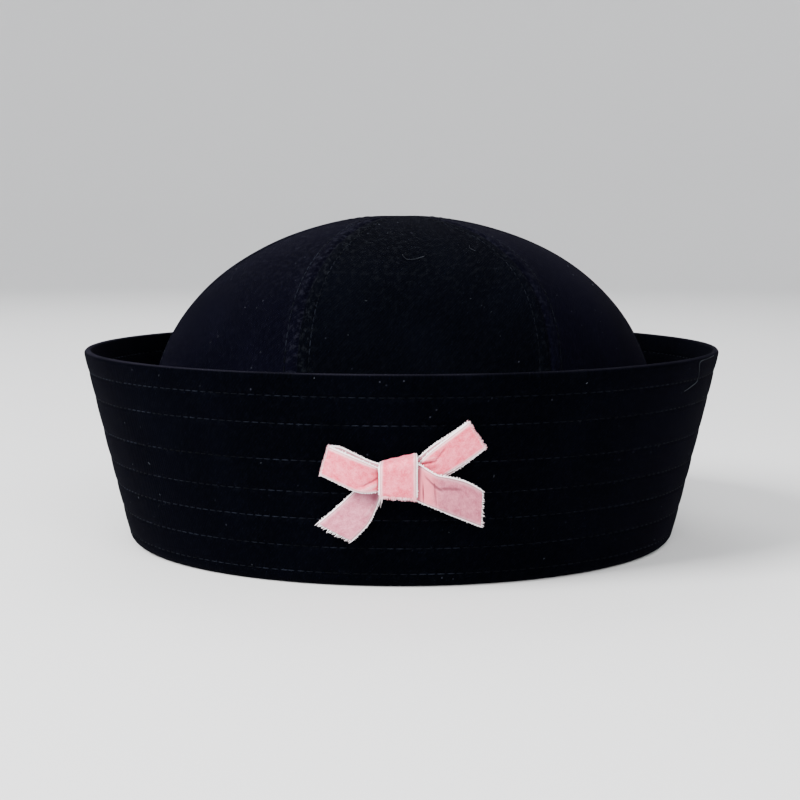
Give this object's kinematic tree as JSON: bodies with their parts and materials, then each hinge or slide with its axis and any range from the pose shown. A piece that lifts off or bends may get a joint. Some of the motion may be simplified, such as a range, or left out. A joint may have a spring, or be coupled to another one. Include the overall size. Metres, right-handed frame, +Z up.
{
  "type": "sailor cap",
  "caption": "Cloth sailor cap with a dome crown of sewn panels, a stitched brim turned up all round, and a tied velvet ribbon bow at the front.",
  "frame": {"origin": "middle of the ring that the cap stands on, on the plane of that ring", "axes": "+Z up through the crown's top, -Y to the front with the bow, +X to the wearer's left"},
  "size_m": [0.2236, 0.2368, 0.1132],
  "materials": {
    "navy_twill": "near-black navy cotton twill, matt, with some lint",
    "pink_velvet": "pink velvet ribbon, its pile side, with white woven edges",
    "pink_ribbon_back": "the same ribbon's plain woven back, paler and flatter, with white woven edges"
  },
  "bodies": {
    "root": {"brim": "navy_twill", "crown_panel_front": "navy_twill", "crown_panel_front_right": "navy_twill", "crown_panel_back_right": "navy_twill", "crown_panel_back": "navy_twill", "crown_panel_back_left": "navy_twill", "crown_panel_front_left": "navy_twill", "bow_knot": "pink_velvet", "bow_loop_left": "pink_velvet", "bow_loop_right": "pink_velvet", "bow_tail_left": "pink_ribbon_back", "bow_tail_right": "pink_ribbon_back"}
  },
  "joints": []
}
